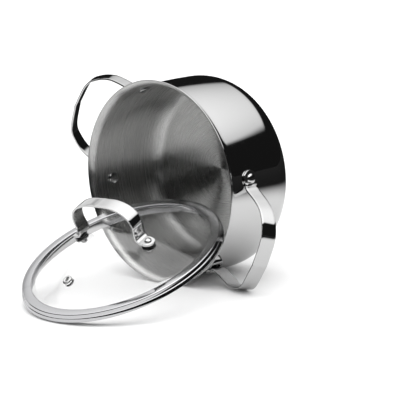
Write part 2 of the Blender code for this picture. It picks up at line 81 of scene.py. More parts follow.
EYE_FROM_RIM = (1.3263, -1.2475, 0.3797)
EYE_AZIMUTH = 45.25
EYE_ELEVATION = 12.53
EYE_ROLL = -4.65
LENS = 144.0
eye = bpy.data.objects.new("eye", bpy.data.cameras.new("eye"))
bpy.context.scene.collection.objects.link(eye)
azimuth = math.radians(EYE_AZIMUTH)
elevation = math.radians(EYE_ELEVATION)
back = Vector((math.sin(azimuth) * math.cos(elevation), -math.cos(azimuth) * math.cos(elevation),
               math.sin(elevation)))
eye.rotation_euler = (back.to_track_quat("Z", "Y").to_matrix()
                      @ Matrix.Rotation(math.radians(EYE_ROLL), 3, "Z")).to_euler()
eye.location = rim_centre + Vector(EYE_FROM_RIM)
eye.data.lens = LENS
eye.data.clip_start = 0.05
bpy.context.scene.camera = eye
bpy.context.scene.view_settings.view_transform = "Standard"

FLOOR_SPAN = 24.0
FLOOR_DROP = 0.0002
MIRROR_SHADE_RADIUS = 0.47  # past this the floor is painted near black where polished steel sees it, a painted darkness standing in for the dark room past a table's edge
MIRROR_SHADE_FADE = 0.30
bpy.ops.mesh.primitive_plane_add(size=FLOOR_SPAN, location=(0, 0, -FLOOR_DROP))
table = bpy.context.object
table.name = "table"
# Matt white laminate: next to no shine, so the table is an even white with soft shadows. Polished steel sees
# it in a painted grey shade, and past about half a metre in a painted near-black that stands in for the dark
# room.
paint = bpy.data.materials.new("matt_white_table")
paint.use_nodes = True
tree = paint.node_tree
shader = tree.nodes["Principled BSDF"]
shader.inputs["Roughness"].default_value = 0.9
shader.inputs["Specular IOR Level"].default_value = 0.1
place = node(tree, "ShaderNodeTexCoord")
reach = node(tree, "ShaderNodeVectorMath", {"operation": "LENGTH"}, i0=place.outputs["Object"])
past_painted_edge = node(tree, "ShaderNodeMapRange", {"interpolation_type": "SMOOTHSTEP"}, i0=reach.outputs["Value"],
              i1=MIRROR_SHADE_RADIUS - MIRROR_SHADE_FADE / 2, i2=MIRROR_SHADE_RADIUS + MIRROR_SHADE_FADE / 2)
rays = node(tree, "ShaderNodeLightPath")
mirrored = node(tree, "ShaderNodeMath", {"operation": "SUBTRACT"}, i0=rays.outputs["Is Glossy Ray"],
                i1=rays.outputs["Is Transmission Ray"])
mirrored.use_clamp = True
# Painted shade: reflections see the floor a painted grey, fading to a painted near-black past about half a
# metre, while other rays see it plain white.
grey = node(tree, "ShaderNodeMix", {"data_type": "RGBA"}, i0=past_painted_edge.outputs[0], i6=linear("#D2D2D2"),
            i7=linear("#0C0C0C"))
white_with_mirror_shade = node(tree, "ShaderNodeMix", {"data_type": "RGBA"}, i0=mirrored.outputs[0], i6=linear("#F4F4F4"),
            i7=grey.outputs[2])
tree.links.new(white_with_mirror_shade.outputs[2], shader.inputs["Base Color"])
table.data.materials.append(paint)

SOFTBOX_MIDDLE = (0.075, 0.36)  # at one metre over the table
SOFTBOX_HALF = (1.525, 1.16)
SOFTBOX_CORNER = 0.60
SOFTBOX_EDGE = 0.14
SOFTBOX_LAMP = (0.55, -0.2)  # where its lamp stands behind the cloth
SOFTBOX_SPREAD = (0.6, 0.8)  # how fast the cloth dims away from the lamp, each way
SOFTBOX_LIGHT = 2.2
SOFTBOX_FADE = 1.05
ROOM_LIGHT = 0.010
CARD_TURNS = (-125.0, -80.0)  # a white card on the left, by its direction and height in degrees
CARD_HEIGHTS = (2.0, 34.0)
CARD_EDGE = 4.0
CARD_LIGHT = 0.9
CEILING_LIGHT = 3.5  # the room's white ceiling and walls light matt things, out of the steel's sight
WALL_LIGHT = 0.3
LEAST_RISE = 0.001  # keeps level directions from dividing by nothing
room = bpy.data.worlds.new("softbox_room")
bpy.context.scene.world = room
room.use_nodes = True
tree = room.node_tree
background = tree.nodes["Background"]
way = node(tree, "ShaderNodeTexCoord")
axes = node(tree, "ShaderNodeSeparateXYZ", i0=way.outputs["Generated"])
height = node(tree, "ShaderNodeMath", {"operation": "MAXIMUM"}, i0=axes.outputs["Z"], i1=LEAST_RISE)
cloth_place = []
past_cloth = []
for axis, middle, half in zip("XY", SOFTBOX_MIDDLE, SOFTBOX_HALF):
    over = node(tree, "ShaderNodeMath", {"operation": "DIVIDE"}, i0=axes.outputs[axis], i1=height.outputs[0])
    cloth_place.append(over.outputs[0])
    off = node(tree, "ShaderNodeMath", {"operation": "SUBTRACT"}, i0=over.outputs[0], i1=middle)
    far = node(tree, "ShaderNodeMath", {"operation": "ABSOLUTE"}, i0=off.outputs[0])
    out = node(tree, "ShaderNodeMath", {"operation": "SUBTRACT"}, i0=far.outputs[0], i1=half - SOFTBOX_CORNER)
    past_cloth.append(node(tree, "ShaderNodeMath", {"operation": "MAXIMUM"}, i0=out.outputs[0], i1=0.0))
corner = node(tree, "ShaderNodeCombineXYZ", i0=past_cloth[0].outputs[0], i1=past_cloth[1].outputs[0])
corner_reach = node(tree, "ShaderNodeVectorMath", {"operation": "LENGTH"}, i0=corner.outputs[0])
lit = node(tree, "ShaderNodeMapRange", {"interpolation_type": "SMOOTHSTEP"}, i0=corner_reach.outputs["Value"],
           i1=SOFTBOX_CORNER + SOFTBOX_EDGE, i2=SOFTBOX_CORNER - SOFTBOX_EDGE, i3=0.0, i4=1.0)
spot = node(tree, "ShaderNodeCombineXYZ", i0=cloth_place[0], i1=cloth_place[1])
off_lamp = node(tree, "ShaderNodeVectorMath", {"operation": "SUBTRACT"}, i0=spot.outputs[0],
                i1=(*SOFTBOX_LAMP, 0.0))
stretched = node(tree, "ShaderNodeVectorMath", {"operation": "MULTIPLY"}, i0=off_lamp.outputs[0],
                 i1=(*SOFTBOX_SPREAD, 0.0))
lamp_reach = node(tree, "ShaderNodeVectorMath", {"operation": "LENGTH"}, i0=stretched.outputs[0])
cloth = node(tree, "ShaderNodeMath", {"operation": "MULTIPLY_ADD"}, i0=lamp_reach.outputs["Value"],
             i1=-SOFTBOX_FADE, i2=SOFTBOX_LIGHT)
glow = node(tree, "ShaderNodeMath", {"operation": "MULTIPLY"}, i0=lit.outputs[0], i1=cloth.outputs[0])
front = node(tree, "ShaderNodeMath", {"operation": "MULTIPLY"}, i0=axes.outputs["Y"], i1=-1.0)
turn = node(tree, "ShaderNodeMath", {"operation": "ARCTAN2"}, i0=axes.outputs["X"], i1=front.outputs[0])
rise = node(tree, "ShaderNodeMath", {"operation": "ARCSINE"}, i0=axes.outputs["Z"])
card = CARD_LIGHT
for angle, (low, high) in ((turn, CARD_TURNS), (rise, CARD_HEIGHTS)):
    for limit, inward in ((low, CARD_EDGE), (high, -CARD_EDGE)):
        edge = node(tree, "ShaderNodeMapRange", {"interpolation_type": "SMOOTHSTEP"}, i0=angle.outputs[0],
                    i1=math.radians(limit), i2=math.radians(limit + inward), i3=0.0, i4=1.0)
        card = node(tree, "ShaderNodeMath", {"operation": "MULTIPLY"}, i0=card, i1=edge.outputs[0]).outputs[0]
lamps = node(tree, "ShaderNodeMath", {"operation": "MAXIMUM"}, i0=glow.outputs[0], i1=card)
dim = node(tree, "ShaderNodeMath", {"operation": "MAXIMUM"}, i0=lamps.outputs[0], i1=ROOM_LIGHT)
overhead = node(tree, "ShaderNodeMath", {"operation": "POWER"}, i0=height.outputs[0], i1=2.0)
fill = node(tree, "ShaderNodeMath", {"operation": "MULTIPLY_ADD"}, i0=overhead.outputs[0], i1=CEILING_LIGHT,
            i2=WALL_LIGHT)
seen = node(tree, "ShaderNodeLightPath")
light = node(tree, "ShaderNodeMix", {"data_type": "FLOAT"}, i0=seen.outputs["Is Diffuse Ray"],
             i2=dim.outputs[0], i3=fill.outputs[0])
tree.links.new(light.outputs[0], background.inputs["Strength"])
background.inputs["Color"].default_value = linear("#FFFFFF")


# ---------------------------------------------------------------------------
# Pot shell. One disc of 18/10 stainless steel, deep drawn into a bellied pot
# and spun out at the mouth into a flared pouring rim. The outside is mirror
# polished. The inside is satin, brushed in circles on a spinning mandrel.

RIM_RADIUS = 0.1200
NECK_RADIUS = 0.1140
BELLY_RADIUS = 0.1162
FLOOR_RADIUS = 0.0960
SHELL_BOTTOM = 0.0054
FLARE_HEIGHT = 0.0090
BELLY_HEIGHT = 0.0344
WALL = 0.0012
POT_STEPS = 256
WELD_REACH = 0.000005
MAP_RADIUS = 0.1  # the radius at which the round map's U is in metres
AXIS_REACH = 0.0001
SMOOTH_ANGLE = 35.0
EDGE_ANGLE = 50.0
RIM_EDGE = 0.00045
BRUSH_TURN = 0.25  # a quarter turn, so that light spreads across the brushed lines
GRAIN_DETAIL = 3.0
GRAIN_ROUGHNESS = 0.6
GRAIN_RANGE = (0.3, 0.7)  # where nearly all of the noise lies


def arc(centre, radii, start, end, count):
    """Points of an elliptical arc, as radius and height, from one angle to another."""
    angles = [math.radians(start + (end - start) * i / (count - 1)) for i in range(count)]
    return [(centre[0] + radii[0] * math.cos(a), centre[1] + radii[1] * math.sin(a)) for a in angles]


def turned(name, outline, steps, angle=360.0, closed=False):
    """A piece turned about Z from an outline of radius and height, drawn with extrusions and then spun."""
    bpy.ops.object.select_all(action="DESELECT")
    bpy.ops.mesh.primitive_plane_add(size=0.001, location=(0, 0, 0))
    obj = bpy.context.object
    obj.name = name
    bpy.ops.object.mode_set(mode="EDIT")
    bpy.ops.mesh.merge(type="CENTER")
    bpy.ops.transform.translate(value=(outline[0][0], 0, outline[0][1]))
    for (r0, z0), (r1, z1) in zip(outline, outline[1:]):
        bpy.ops.mesh.extrude_vertices_move(TRANSFORM_OT_translate={"value": (r1 - r0, 0, z1 - z0)})
    bpy.ops.mesh.select_all(action="SELECT")
    if closed:
        drawn = bmesh.from_edit_mesh(obj.data)
        ends = [v for v in drawn.verts if len(v.link_edges) == 1]
        drawn.edges.new(ends)
        bmesh.update_edit_mesh(obj.data)
        bpy.ops.mesh.select_all(action="SELECT")
    bpy.ops.mesh.spin(steps=steps, angle=math.radians(angle), center=(0, 0, 0), axis=(0, 0, 1))
    bpy.ops.mesh.select_all(action="SELECT")
    bpy.ops.mesh.remove_doubles(threshold=WELD_REACH)
    if angle < 360:
        bpy.ops.mesh.select_all(action="DESELECT")
        bpy.ops.mesh.select_non_manifold()
        bpy.ops.mesh.edge_face_add()
        bpy.ops.mesh.select_all(action="SELECT")
    bpy.ops.mesh.normals_make_consistent(inside=False)
    bpy.ops.object.mode_set(mode="OBJECT")
    return obj


def round_map(obj):
    """A UV map whose U runs round the piece and whose V runs along its outline, in metres."""
    mesh = obj.data
    layer = mesh.uv_layers.new(name="round")
    for face in mesh.polygons:
        middle = math.atan2(face.center.y, face.center.x)
        for loop in face.loop_indices:
            point = mesh.vertices[mesh.loops[loop].vertex_index].co
            reach = math.hypot(point.x, point.y)
            turn = (math.atan2(point.y, point.x) - middle + math.pi) % (2 * math.pi) - math.pi
            if reach < AXIS_REACH:
                turn = 0.0
            layer.data[loop].uv = ((middle + turn) * MAP_RADIUS, reach + point.z)


def finish_with(obj, kind, name, **settings):
    """Adds a modifier to a piece and applies it."""
    modifier = obj.modifiers.new(name, kind)
    for key, value in settings.items():
        setattr(modifier, key, value)
    bpy.ops.object.select_all(action="DESELECT")
    obj.select_set(True)
    bpy.context.view_layer.objects.active = obj
    bpy.ops.object.modifier_apply(modifier=modifier.name)


def put(obj, placement, body, slot_name, *nodes):
    """Puts a finished piece's place into its mesh, and has it ride on a body and stand in for CAD nodes."""
    bpy.ops.object.select_all(action="DESELECT")
    obj.select_set(True)
    bpy.context.view_layer.objects.active = obj
    bpy.ops.object.shade_smooth_by_angle(angle=math.radians(SMOOTH_ANGLE))
    obj.matrix_world = placement
    bpy.ops.object.transform_apply(location=True, rotation=True, scale=True)
    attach(obj, body)
    if nodes:
        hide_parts(*nodes)


def steel(name, colour, roughness, spread, scale, anisotropy=0.0, depth=0.0):
    """A metal whose roughness varies by so many waves per metre each way, brushed round the piece or not."""
    made = bpy.data.materials.new(name)
    made.use_nodes = True
    tree = made.node_tree
    shader = tree.nodes["Principled BSDF"]
    shader.inputs["Base Color"].default_value = linear(colour)
    shader.inputs["Metallic"].default_value = 1.0
    if anisotropy:
        shader.inputs["Anisotropic"].default_value = anisotropy
        shader.inputs["Anisotropic Rotation"].default_value = BRUSH_TURN
        along = node(tree, "ShaderNodeTangent", {"direction_type": "UV_MAP", "uv_map": "round"})
        tree.links.new(along.outputs["Tangent"], shader.inputs["Tangent"])
        where = node(tree, "ShaderNodeUVMap", {"uv_map": "round"}).outputs["UV"]
    else:
        where = node(tree, "ShaderNodeTexCoord").outputs["Object"]
    lines = node(tree, "ShaderNodeMapping", i0=where, i3=scale)
    scratch = node(tree, "ShaderNodeTexNoise", i2=1.0, i3=GRAIN_DETAIL, i4=GRAIN_ROUGHNESS,
                   Vector=lines.outputs[0])
    rough = node(tree, "ShaderNodeMapRange", i0=scratch.outputs[0], i1=GRAIN_RANGE[0], i2=GRAIN_RANGE[1],
                 i3=roughness - spread, i4=roughness + spread)
    tree.links.new(rough.outputs[0], shader.inputs["Roughness"])
    if depth:
        bump = node(tree, "ShaderNodeBump", i0=1.0, i1=depth, Height=scratch.outputs[0])
        tree.links.new(bump.outputs[0], shader.inputs["Normal"])
    return made


# 18/10 stainless, buffed on cotton wheels: a clear mirror with a faint haze in broad patches.
MIRROR_STEEL = steel("mirror_polished_stainless", "#D4D4D4", 0.05, 0.02, (60.0, 60.0, 60.0))
# 18/10 stainless, brushed in circles: its light spreads across the lines, into fans from the centre.
# The lines are 0.25 mm apart, drawn coarser than real ones so that they show.
SATIN_STEEL = steel("circle_brushed_stainless", "#D6D6D5", 0.27, 0.04, (6.0, 4000.0, 1.0), anisotropy=1.0,
                    depth=0.000007)

SIDE_ROWS = 24
FLOOR_ROWS = 16
side = [(NECK_RADIUS + (BELLY_RADIUS - NECK_RADIUS) * (1 - (i / SIDE_ROWS) ** 2),
         BELLY_HEIGHT + (RIM_HEIGHT - FLARE_HEIGHT - BELLY_HEIGHT) * i / SIDE_ROWS)
        for i in range(1, SIDE_ROWS + 1)]
half_turn = math.atan((RIM_RADIUS - NECK_RADIUS) / FLARE_HEIGHT)
flare_bend = FLARE_HEIGHT / math.sin(2 * half_turn)
flare = arc((NECK_RADIUS + flare_bend, RIM_HEIGHT - FLARE_HEIGHT), (flare_bend, flare_bend), 180,
            180 - math.degrees(2 * half_turn), 13)
bowl = ([(FLOOR_RADIUS * i / FLOOR_ROWS, SHELL_BOTTOM) for i in range(FLOOR_ROWS)]
        + arc((FLOOR_RADIUS, BELLY_HEIGHT), (BELLY_RADIUS - FLOOR_RADIUS, BELLY_HEIGHT - SHELL_BOTTOM),
              -90, 0, 25)
        + side + flare[1:])
shell = turned("pot_shell_drawn", bowl, POT_STEPS)
bpy.ops.object.mode_set(mode="EDIT")
bpy.ops.mesh.select_all(action="SELECT")
bpy.ops.mesh.flip_normals()
bpy.ops.object.mode_set(mode="OBJECT")
round_map(shell)
shell.data.materials.append(MIRROR_STEEL)
shell.data.materials.append(SATIN_STEEL)
finish_with(shell, "SOLIDIFY", "sheet", thickness=WALL, offset=-1.0, material_offset=1, material_offset_rim=0,
            use_quality_normals=True)
finish_with(shell, "BEVEL", "rim_edge", width=RIM_EDGE, segments=3, limit_method="ANGLE",
            angle_limit=math.radians(EDGE_ANGLE))

RIVET_HOLE = 0.0029
WALL_DRILL = 0.012  # the drill's length, through wall and handle
HOLE_SIDES = 32
HANDLE_DEPTH = 0.0340
HANDLE_SPREAD = 34.5
LUG_RADIUS = 0.0100
SHELL_GAP = 0.0003


def wall_at(height):
    """Radius of the pot's outer wall at a height between its belly and its neck."""
    share = (height - BELLY_HEIGHT) / (RIM_HEIGHT - FLARE_HEIGHT - BELLY_HEIGHT)
    return NECK_RADIUS + (BELLY_RADIUS - NECK_RADIUS) * (1 - share ** 2)


lug_height = RIM_HEIGHT - HANDLE_DEPTH
lug_slope = (wall_at(lug_height - LUG_RADIUS) - wall_at(lug_height + LUG_RADIUS)) / (2 * LUG_RADIUS)


def lug_place(turn):
    """Where a rivet goes through the wall, with Z pointing out of the pot."""
    a = math.radians(turn)
    point = Vector((wall_at(lug_height) * math.cos(a), wall_at(lug_height) * math.sin(a), lug_height))
    out = Vector((math.cos(a), math.sin(a), lug_slope)).normalized()
    return Matrix.Translation(point) @ Vector((0, 0, 1)).rotation_difference(out).to_matrix().to_4x4()


def bore(pieces, radius, depth, placement):
    """Cuts one round hole through pieces."""
    bpy.ops.object.select_all(action="DESELECT")
    bpy.ops.mesh.primitive_cylinder_add(vertices=HOLE_SIDES, radius=radius, depth=depth)
    cutter = bpy.context.object
    cutter.matrix_world = placement
    for piece in pieces:
        finish_with(piece, "BOOLEAN", "hole", operation="DIFFERENCE", object=cutter, solver="EXACT")
    bpy.data.objects.remove(cutter)


rivet_turns = {"right_lower": -HANDLE_SPREAD, "right_upper": HANDLE_SPREAD,
               "left_lower": 180 + HANDLE_SPREAD, "left_upper": 180 - HANDLE_SPREAD}
for turn in rivet_turns.values():
    bore([shell], RIVET_HOLE, WALL_DRILL, lug_place(turn))
put(shell, pot_place, "pot", "pot_steel", "pot_shell")


# ---------------------------------------------------------------------------
# Capacity marks. Three short lines etched dark by laser on the inner wall, one
# above another, each along the level that the food would reach.

MARK_HEIGHTS = (0.0374, 0.0575, 0.0765)
MARK_LENGTH = 0.0120
MARK_WIDTH = 0.0007
MARK_DEPTH = 0.00006
MARK_TURN = -91.0
MARK_CHAMFER = 0.0001
MARK_STEPS = 12
SPECKLES = 6000.0  # waves per metre

# Oxide burnt into the steel by the laser: dull and nearly black, with a fine speckle.
ETCHING = bpy.data.materials.new("laser_etched_oxide")
ETCHING.use_nodes = True
tree = ETCHING.node_tree
shader = tree.nodes["Principled BSDF"]
shader.inputs["Metallic"].default_value = 0.6
shader.inputs["Roughness"].default_value = 0.6
where = node(tree, "ShaderNodeTexCoord")
speckle = node(tree, "ShaderNodeTexNoise", i2=SPECKLES, i3=2.0, Vector=where.outputs["Object"])
burn = node(tree, "ShaderNodeMix", {"data_type": "RGBA"}, i0=speckle.outputs[0], i6=linear("#141414"),
            i7=linear("#4A4846"))
tree.links.new(burn.outputs[2], shader.inputs["Base Color"])
for count, mark_height in enumerate(MARK_HEIGHTS):
    inner = wall_at(mark_height) - WALL
    angle = math.degrees(MARK_LENGTH / inner)
    mark = turned(f"capacity_mark_{count + 1}",
                  [(inner + MARK_DEPTH, mark_height - MARK_WIDTH / 2),
                   (inner - MARK_DEPTH, mark_height - MARK_WIDTH / 2 + MARK_CHAMFER),
                   (inner - MARK_DEPTH, mark_height + MARK_WIDTH / 2 - MARK_CHAMFER),
                   (inner + MARK_DEPTH, mark_height + MARK_WIDTH / 2)], MARK_STEPS, angle=angle, closed=True)
    mark.data.materials.append(ETCHING)
    put(mark, pot_place @ Matrix.Rotation(math.radians(MARK_TURN - angle / 2), 4, "Z"), "pot", "pot_steel")


# ---------------------------------------------------------------------------
# Base. An aluminium disc spreads the heat under the pot's floor. A stainless
# steel cap, pressed over it and impact bonded, is spun to a fine lathe finish.

CAP_RADIUS = 0.0936
CAP_WALL = 0.0008
CAP_CORNER = 0.0025
CAP_TOP = 0.0051
CAP_ROWS = 10

cap_bend = CAP_CORNER - CAP_WALL
cap_centre = (CAP_RADIUS - CAP_CORNER, CAP_CORNER)
cap_outline = ([((CAP_RADIUS - CAP_CORNER) * i / CAP_ROWS, CAP_WALL) for i in range(CAP_ROWS)]
               + arc(cap_centre, (cap_bend, cap_bend), -90, 0, 8)
               + [(CAP_RADIUS - CAP_WALL, CAP_TOP), (CAP_RADIUS, CAP_TOP)]
               + arc(cap_centre, (CAP_CORNER, CAP_CORNER), 0, -90, 10)
               + [((CAP_RADIUS - CAP_CORNER) * i / CAP_ROWS, 0.0) for i in range(CAP_ROWS - 1, -1, -1)])
cap = turned("base_cap_spun", cap_outline, POT_STEPS)
round_map(cap)
# Stainless faced on a lathe: satin with rings that turn its light into a bow tie. The rings are 0.4 mm
# apart, drawn coarser than real ones so that they show.
SPUN_STEEL = steel("lathe_spun_stainless", "#C9C9CB", 0.24, 0.05, (3.0, 2500.0, 1.0), anisotropy=0.7,
                   depth=0.00003)
cap.data.materials.append(SPUN_STEEL)
put(cap, pot_place, "pot", "base_steel", "base_cap")

core_disc = frame["nodes"]["base_core"]
core_disc.data.materials.clear()
# Rolled aluminium sheet: dull and pale, with the mill's straight lines, drawn coarse at 0.3 mm apart.
core_disc.data.materials.append(steel("rolled_aluminium", "#D8DADD", 0.38, 0.08, (40.0, 3000.0, 40.0)))


# ---------------------------------------------------------------------------
# Side handles. Two straps of polished stainless steel, cut with round ends,
# bent into a rising loop and riveted flat to the wall at both ends.

STRAP_WIDTH = 0.0172
STRAP_THICKNESS = 0.0020
LUG_NECK = 0.0008
FOOT_LEAN = 6.0
GRIP_LEAN = 29.0
HANDLE_REACH = 0.0753
TWIST_REACH = 0.0120
STRAP_COLUMNS = 7
STRAP_EDGE = 0.24  # of the strap's thickness
END_STEPS = 16
NECK_STEPS = 4
CURVE_STEPS = 14


def smooth_path(points, steps):
    """A smooth curve through points, with a number of steps between each two."""
    knots = [Vector(p) for p in points]
    knots = [2 * knots[0] - knots[1]] + knots + [2 * knots[-1] - knots[-2]]
    path = []
    for a, b, c, d in zip(knots, knots[1:], knots[2:], knots[3:]):
        for i in range(steps):
            t = i / steps
            path.append(0.5 * (2 * b + (c - a) * t + (2 * a - 5 * b + 4 * c - d) * t ** 2
                               + (3 * b - a - 3 * c + d) * t ** 3))
    return path + [knots[-2]]


def bent_strap(name, stations, thickness):
    """A flat strip laid along stations of centre, width direction and half width, given its thickness."""
    rows = len(stations)
    bpy.ops.object.select_all(action="DESELECT")
    bpy.ops.mesh.primitive_grid_add(x_subdivisions=STRAP_COLUMNS - 1, y_subdivisions=rows - 1, size=1.0)
    strip = bpy.context.object
    strip.name = name
    for i, (centre, across, half) in enumerate(stations):
        along = stations[min(i + 1, rows - 1)][0] - stations[max(i - 1, 0)][0]
        sideways = (across - along * across.dot(along) / along.length_squared).normalized()
        for k in range(STRAP_COLUMNS):
            share = 2 * k / (STRAP_COLUMNS - 1) - 1
            strip.data.vertices[i * STRAP_COLUMNS + k].co = centre + sideways * half * share
    finish_with(strip, "SOLIDIFY", "strip", thickness=thickness, offset=0.0, use_quality_normals=True)
    finish_with(strip, "BEVEL", "eased_edge", width=thickness * STRAP_EDGE, segments=3, limit_method="ANGLE",
                angle_limit=math.radians(EDGE_ANGLE))
    return strip


def round_end(centre, along, across, radius, half, neck):
    """Stations of a strap's round end, from its tip to just past the rivet."""
    ends = []
    for i in range(1, END_STEPS + 1):
        a = math.radians(90 * i / END_STEPS)
        ends.append((centre - along * radius * math.cos(a), across, radius * math.sin(a)))
    meet = math.sqrt(radius ** 2 - half ** 2)
    for i in range(1, NECK_STEPS + 1):
        reach = meet * i / NECK_STEPS
        ends.append((centre + along * reach, across, math.sqrt(radius ** 2 - reach ** 2)))
    return ends + [(centre + along * (meet + neck), across, half)]


def with_mirror(stations):
    """Stations of a half strap, followed by those of its other half."""
    return stations + [(Vector((c.x, -c.y, c.z)), Vector((w.x, -w.y, w.z)), h)
                       for c, w, h in reversed(stations[:-1])]


spread = math.radians(HANDLE_SPREAD)
lug_out = Vector((math.cos(spread), math.sin(spread), lug_slope)).normalized()
lug = (Vector((wall_at(lug_height) * math.cos(spread), wall_at(lug_height) * math.sin(spread), lug_height))
       + lug_out * (SHELL_GAP + STRAP_THICKNESS / 2))
lug_along = Vector((math.sin(spread), -math.cos(spread), 0))
lug_across = lug_along.cross(lug_out)
stations = round_end(lug, lug_along, lug_across, LUG_RADIUS, STRAP_WIDTH / 2, LUG_NECK)
loop = [(-0.0066, 0.0046), (-0.0089, 0.0092), (-0.0096, 0.0166), (-0.0104, 0.0301), (-0.0130, 0.0452),
        (-0.0216, 0.0602), (-0.0352, 0.0708), (-lug.y, HANDLE_REACH)]
foot_lean = math.radians(FOOT_LEAN)
curl = (math.radians(GRIP_LEAN) - foot_lean) / HANDLE_REACH
for sideways, out in smooth_path(loop, CURVE_STEPS):
    lean = foot_lean + curl * out
    share = min(out / TWIST_REACH, 1.0)
    share = share * share * (3 - 2 * share)
    across = lug_across.lerp(Vector((-math.sin(lean), 0, math.cos(lean))), share)
    centre = Vector((lug.x + (math.sin(lean) - math.sin(foot_lean)) / curl, lug.y + sideways,
                     lug.z + (math.cos(foot_lean) - math.cos(lean)) / curl))
    stations.append((centre, across, STRAP_WIDTH / 2))
for hand, facing in (("right", 0.0), ("left", 180.0)):
    handle = bent_strap(f"side_handle_{hand}_bent", with_mirror(stations), STRAP_THICKNESS)
    for turn in (-HANDLE_SPREAD, HANDLE_SPREAD):
        bore([handle], RIVET_HOLE, WALL_DRILL, lug_place(turn))
    handle.data.materials.append(MIRROR_STEEL)
    put(handle, pot_place @ Matrix.Rotation(math.radians(facing), 4, "Z"), "pot", "handle_steel",
        f"side_handle_{hand}")


# ---------------------------------------------------------------------------
# Rivets. Solid stainless steel rivets with a flat head inside the pot, set
# from outside into a low polished dome.

RIVET_RADIUS = 0.0026
DOME_RADIUS = 0.0058
DOME_HEIGHT = 0.0026
HEAD_RADIUS = 0.0066
HEAD_THICKNESS = 0.0014
HEAD_EDGE = 0.0005
HEAD_CROWN = 0.0001
RIVET_STEPS = 48

dome_foot = STRAP_THICKNESS + 2 * SHELL_GAP
head_back = -WALL - 2 * SHELL_GAP
head_front = head_back - HEAD_THICKNESS
rivet_outline = (arc((0.0, dome_foot), (DOME_RADIUS, DOME_HEIGHT), 90, 0, 14)
                 + [(RIVET_RADIUS, dome_foot), (RIVET_RADIUS, head_back), (HEAD_RADIUS, head_back)]
                 + arc((HEAD_RADIUS - HEAD_EDGE, head_front + HEAD_EDGE), (HEAD_EDGE, HEAD_EDGE), 0, -90, 5)
                 + [(0.0, head_front - HEAD_CROWN)])
for hand, turn in rivet_turns.items():
    rivet = turned(f"rivet_{hand}_set", rivet_outline, RIVET_STEPS)
    rivet.data.materials.append(MIRROR_STEEL)
    put(rivet, pot_place @ lug_place(turn), "pot", "rivet_steel", f"rivet_{hand}")


# ---------------------------------------------------------------------------
# Lid ring. A strip of stainless steel rolled round the glass, with its two
# ends butted in one seam. It has a stepped side, a lip and an inner collar.

seat_axis = Vector(mounts["lid_seat"]["axis"])
LID_SPIN = 3.0
LID_SEAT = (0, -0.117, 0.0003)
lid_turn = (Matrix.Rotation(math.asin(seat_axis.y), 4, "X")
            @ Matrix.Rotation(math.radians(LID_SPIN - 90), 4, "Z"))
lid_place = Matrix.Translation(Vector(mounts["lid_seat"]["pos_m"]) - lid_turn @ Vector(LID_SEAT)) @ lid_turn

LIP_RADIUS = 0.1220
RING_RADIUS = 0.1194
RING_INNER = 0.1082
RING_HEIGHT = 0.0090
RING_SHEET = 0.0010
COLLAR_RADIUS = 0.1118
COLLAR_DEPTH = 0.0045
COLLAR_WALL = 0.0010
GLASS_RADIUS = 0.1144
GLASS_TOP = 0.0066
GLASS_BOTTOM = 0.0032
SEAL_WALL = 0.0008
SEAM = 0.00035
SEAM_TURN = -44.0
RING_CURL = (0.0012, 0.0006)
RING_SHOULDER = 0.0014
RING_HEM = 0.0004
RING_STEP = ((0.0006, 0.56), (0.0007, 0.53), (0.0013, 0.50), (0.0015, 0.47))  # outwards, share of its height

groove_top = RING_HEIGHT - RING_SHEET
groove_bottom = GLASS_BOTTOM - 2 * SHELL_GAP - SEAL_WALL
groove_radius = GLASS_RADIUS + SEAL_WALL + 2 * SHELL_GAP
ring_outline = ([(RING_INNER, groove_top + RING_HEM)]
                + arc((RING_INNER + RING_CURL[0], RING_HEIGHT - RING_CURL[1]), RING_CURL, 180, 90, 6)
                + arc((RING_RADIUS - RING_SHOULDER, RING_HEIGHT - RING_SHOULDER),
                      (RING_SHOULDER, RING_SHOULDER), 90, 0, 8)
                + [(RING_RADIUS + out, RING_HEIGHT * share) for out, share in RING_STEP]
                + [(LIP_RADIUS - 0.0002, 0.0016), (LIP_RADIUS, 0.0008), (LIP_RADIUS - 0.0004, 0.0003),
                   (COLLAR_RADIUS + 0.0010, 0.0003), (COLLAR_RADIUS + 0.0003, 0.0), (COLLAR_RADIUS, -0.0008),
                   (COLLAR_RADIUS, 0.0004 - COLLAR_DEPTH), (COLLAR_RADIUS - 0.0003, -COLLAR_DEPTH),
                   (COLLAR_RADIUS - COLLAR_WALL, -COLLAR_DEPTH), (COLLAR_RADIUS - COLLAR_WALL, groove_bottom),
                   (groove_radius, groove_bottom), (groove_radius, groove_top), (RING_INNER, groove_top)])
ring = turned("lid_ring_rolled", ring_outline, POT_STEPS, angle=360 - math.degrees(SEAM / RING_RADIUS),
              closed=True)
bpy.ops.object.select_all(action="DESELECT")
ring.matrix_world = Matrix.Rotation(math.radians(SEAM_TURN), 4, "Z")
ring.select_set(True)
bpy.ops.object.transform_apply()
round_map(ring)
# Stainless strip, polished while it turns: a mirror softened across the lines that run round the ring,
# drawn coarse at 0.2 mm apart.
RING_STEEL = steel("polished_rolled_stainless", "#D0D0D2", 0.08, 0.03, (2.0, 5000.0, 1.0), anisotropy=0.4,
                   depth=0.00001)
ring.data.materials.append(RING_STEEL)
put(ring, lid_place, "lid", "ring_steel", "lid_ring")


# ---------------------------------------------------------------------------
# Ring seal. A U-shaped silicone profile, pressed over the glass's edge so
# that steel and glass never touch.

MOTTLE = 900.0  # waves per metre
MOTTLE_SPREAD = 0.08
SEAL_MARGIN = 0.0004


